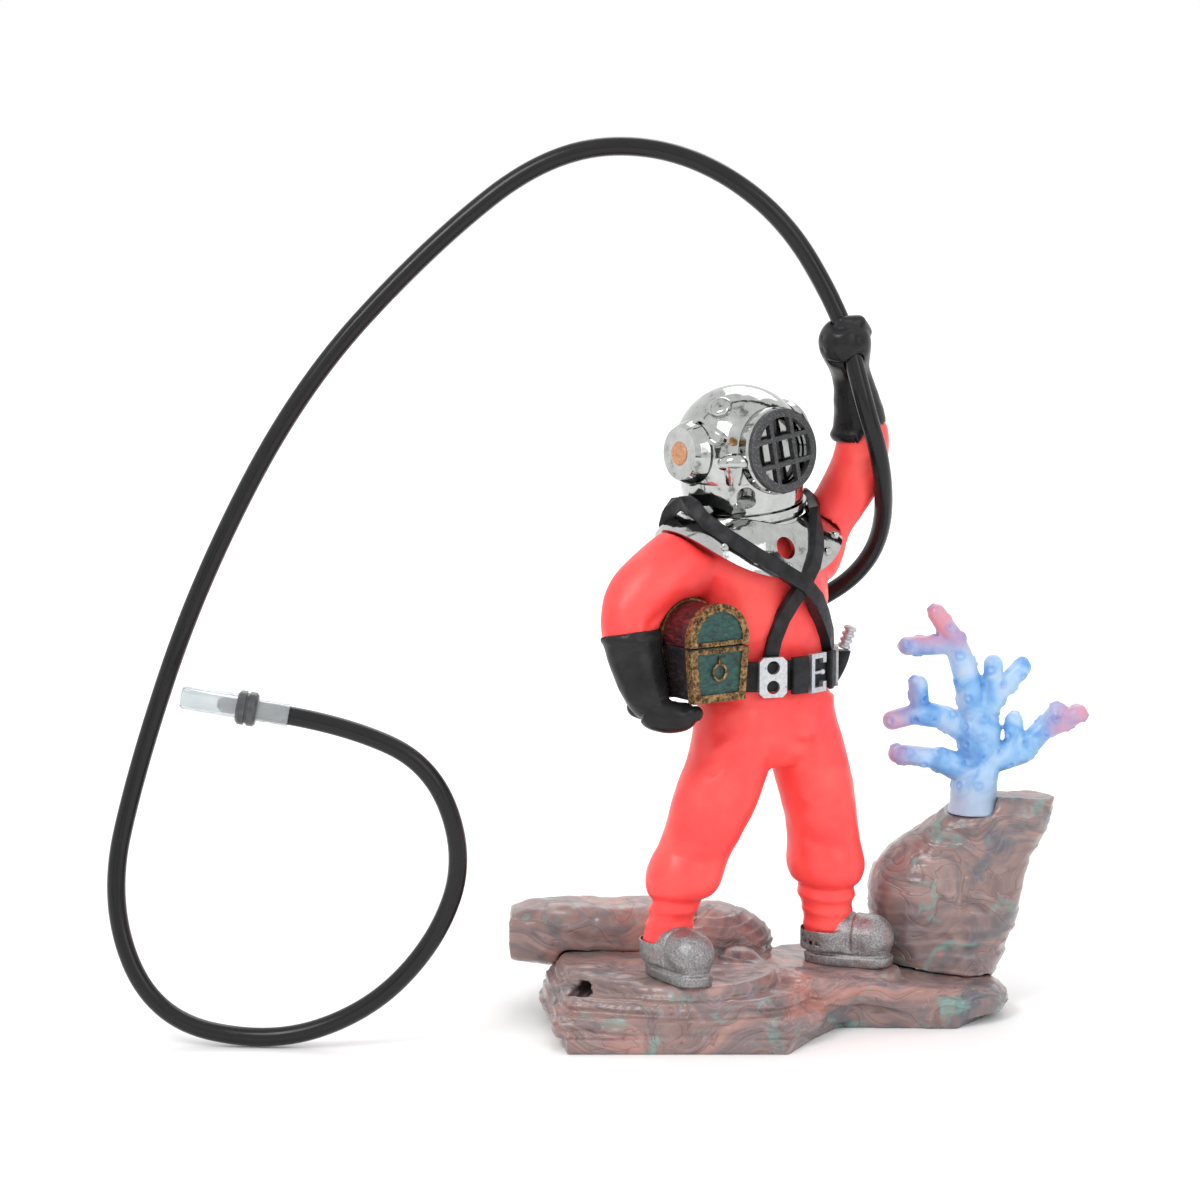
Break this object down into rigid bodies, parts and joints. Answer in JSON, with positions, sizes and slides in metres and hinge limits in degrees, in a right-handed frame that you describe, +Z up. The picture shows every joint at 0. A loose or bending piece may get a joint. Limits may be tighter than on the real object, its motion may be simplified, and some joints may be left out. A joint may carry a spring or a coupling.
{
  "type": "bubbling aquarium ornament",
  "caption": "Deep-sea diver figure in a closed helmet on a rock base with coral and a treasure chest, fed by a looped air hose with a push-on connector.",
  "frame": {"origin": "on the underside of the base, below the figure's hips", "axes": "+Z up, +X along the front edge of the base, towards the coral, +Y to the back"},
  "size_m": [0.198, 0.0586, 0.1783],
  "materials": {
    "rock": "glazed, marbled brown, mauve and orange",
    "coral": "translucent light blue, pink tips",
    "suit_red": "soft coral red",
    "glove_black": "glossy black",
    "boot_silver": "speckled silver",
    "chrome": "mirror",
    "gunmetal": "dark, rough",
    "copper": "speckled copper",
    "gold": "worn antique gold",
    "satin_silver": "satin silver",
    "strap_black": "black",
    "chest_green": "dark green end panels, dark red planks",
    "chest_red": "dark red planks",
    "hose_black": "glossy black",
    "clear": "frosted clear",
    "dark_grey": "dark grey"
  },
  "bodies": {
    "base": {"rock_base": "rock", "rear_slab": "rock", "boulder": "rock", "suit_torso": "suit_red", "suit_trousers": "suit_red", "right_sleeve": "suit_red", "left_sleeve": "suit_red", "right_boot": "boot_silver", "left_boot": "boot_silver", "right_glove": "glove_black", "left_glove": "glove_black", "breastplate": "chrome", "breastplate_studs": "chrome", "neck_ring": "chrome", "shoulder_strap_left": "strap_black", "shoulder_strap_right": "strap_black", "waist_belt": "strap_black", "weight_front_right": "satin_silver", "weight_front_left": "satin_silver", "buckle_frame": "satin_silver", "buckle_prong": "satin_silver", "belt_keeper": "strap_black", "belt_loop": "strap_black", "knife_sheath": "strap_black", "knife_handle": "satin_silver", "chest_body": "chest_green", "chest_lid": "chest_red", "chest_bands_lid": "gold", "chest_bands_body": "gold", "chest_ring_pull": "gold", "chest_nails": "gold", "air_hose": "hose_black", "air_inlet_elbow": "dark_grey", "air_riser": "clear", "hose_sleeve": "clear", "connector_body": "dark_grey"},
    "helmet": {"helmet_shell": "chrome", "face_port_ring": "chrome", "face_plate": "chrome", "face_grille": "gunmetal", "side_port_right": "chrome", "side_port_left": "chrome", "side_disc_right": "copper", "side_disc_left": "copper", "top_port_knob": "chrome", "exhaust_valve": "chrome", "chin_valve": "chrome", "port_clasp": "chrome", "port_bolt": "gold"},
    "coral": {"coral": "coral"},
    "nozzle": {"nozzle": "clear"}
  },
  "joints": [
    {"name": "helmet_turn", "type": "hinge", "parent": "base", "child": "helmet", "pos_m": [-0.0105, 0.0004, 0.1061], "axis": [-0.0737, -0.137, 0.9878], "range_deg": [-20, 20]},
    {"name": "coral_lift", "type": "slide", "parent": "base", "child": "coral", "axis": [0, 0, 1], "range_m": [0, 0.012]},
    {"name": "nozzle_pull", "type": "slide", "parent": "base", "child": "nozzle", "axis": [-0.985, 0, 0.1724], "range_m": [0, 0.008]}
  ]
}
